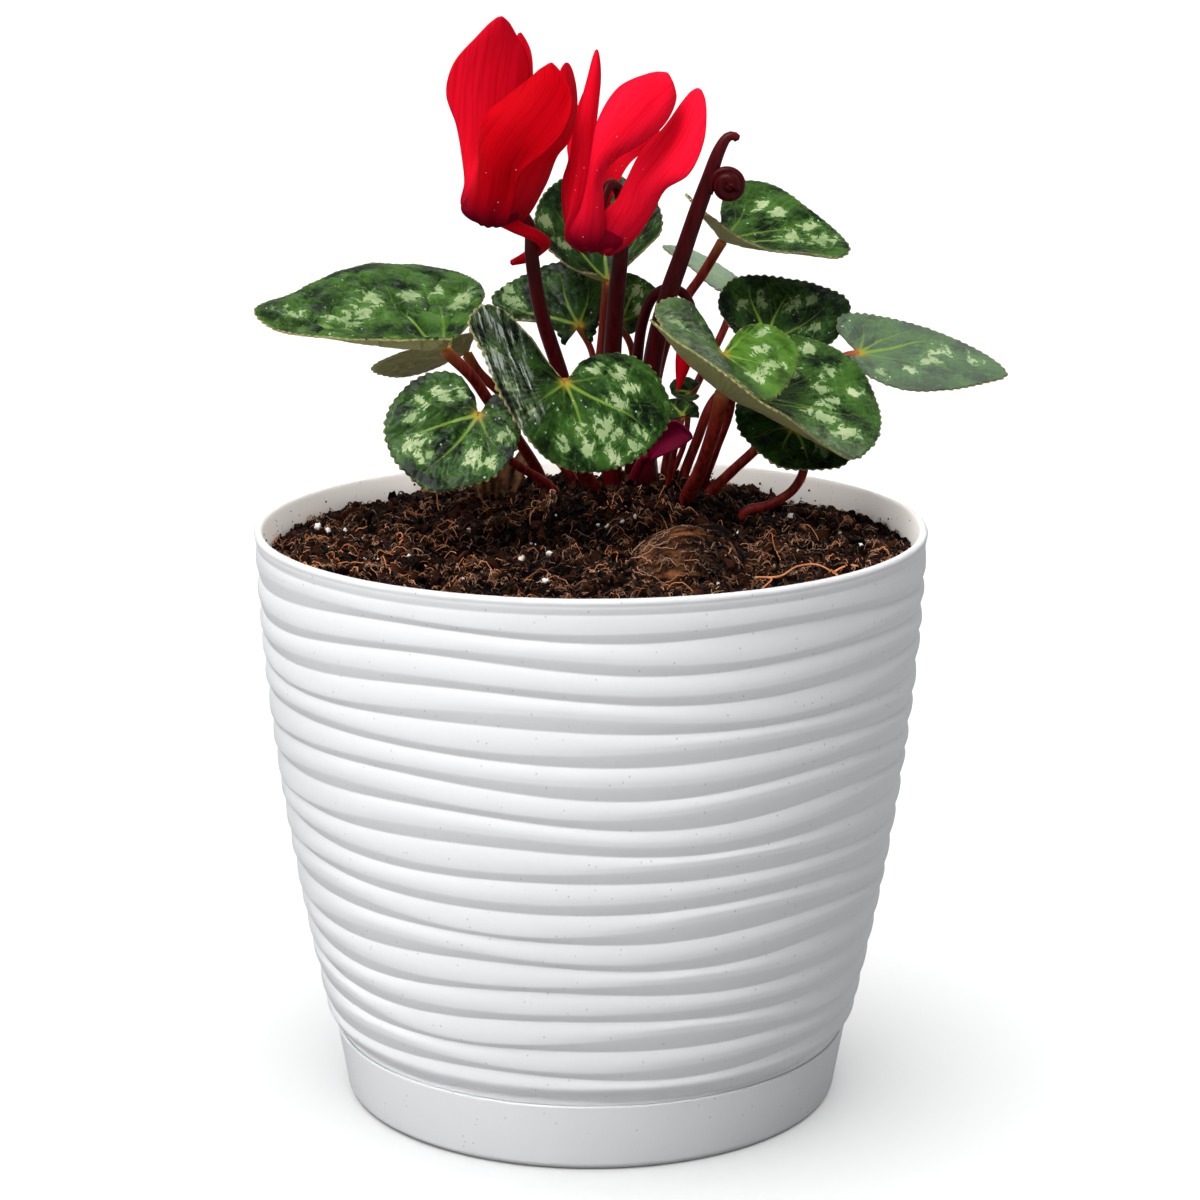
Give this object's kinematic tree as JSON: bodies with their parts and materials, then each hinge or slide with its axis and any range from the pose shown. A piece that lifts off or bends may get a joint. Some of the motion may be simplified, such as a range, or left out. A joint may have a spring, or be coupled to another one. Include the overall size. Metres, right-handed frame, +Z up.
{
  "type": "potted cyclamen",
  "caption": "Round pot with wavy horizontal ribs on a saucer, full of soil, with a leafy flowering plant of marbled toothed leaves and upswept petals; a decorative house plant.",
  "frame": {"origin": "centre of the saucer's underside, on the surface that the plant stands on", "axes": "+Z up along the pot's axis, -Y toward the viewer of the picture, +X to that viewer's right"},
  "size_m": [0.1814, 0.16, 0.259],
  "materials": {
    "white_plastic": "satin white with sparse fine grey specks",
    "soil": "matt moist peat with fibres and white grains",
    "tuber": "matt and fibrous",
    "bark": "matt",
    "leaf": "waxy satin green with silver marbling",
    "leaf_stalk": "satin brick red",
    "flower_stalk": "satin dark maroon",
    "young_leaf": "satin crimson",
    "petal": "velvety scarlet",
    "bud": "satin crimson"
  },
  "bodies": {
    "root": {"pot": "white_plastic", "tray": "white_plastic", "leaf_1": "leaf", "leaf_2": "leaf", "leaf_3": "leaf", "leaf_4": "leaf", "leaf_5": "leaf", "leaf_6": "leaf", "leaf_7": "leaf", "leaf_8": "leaf", "leaf_9": "leaf", "leaf_10": "leaf", "leaf_11": "leaf", "leaf_12": "leaf", "leaf_13": "leaf", "leaf_14": "leaf", "small_leaf_1": "leaf", "small_leaf_2": "leaf", "petiole_1": "leaf_stalk", "petiole_2": "leaf_stalk", "petiole_3": "leaf_stalk", "petiole_4": "leaf_stalk", "petiole_5": "leaf_stalk", "petiole_6": "leaf_stalk", "petiole_7": "leaf_stalk", "petiole_8": "leaf_stalk", "petiole_9": "leaf_stalk", "petiole_10": "leaf_stalk", "petiole_11": "leaf_stalk", "petiole_12": "leaf_stalk", "petiole_13": "leaf_stalk", "petiole_14": "leaf_stalk", "small_petiole_1": "leaf_stalk", "small_petiole_2": "leaf_stalk", "scape_1": "flower_stalk", "scape_2": "flower_stalk", "bare_stalk": "flower_stalk", "bud_stalk": "flower_stalk", "young_leaf": "young_leaf", "bloom_1": "petal", "bloom_2": "petal", "bud": "bud", "soil": "soil", "tuber": "tuber", "bark_chip": "bark"}
  },
  "joints": []
}
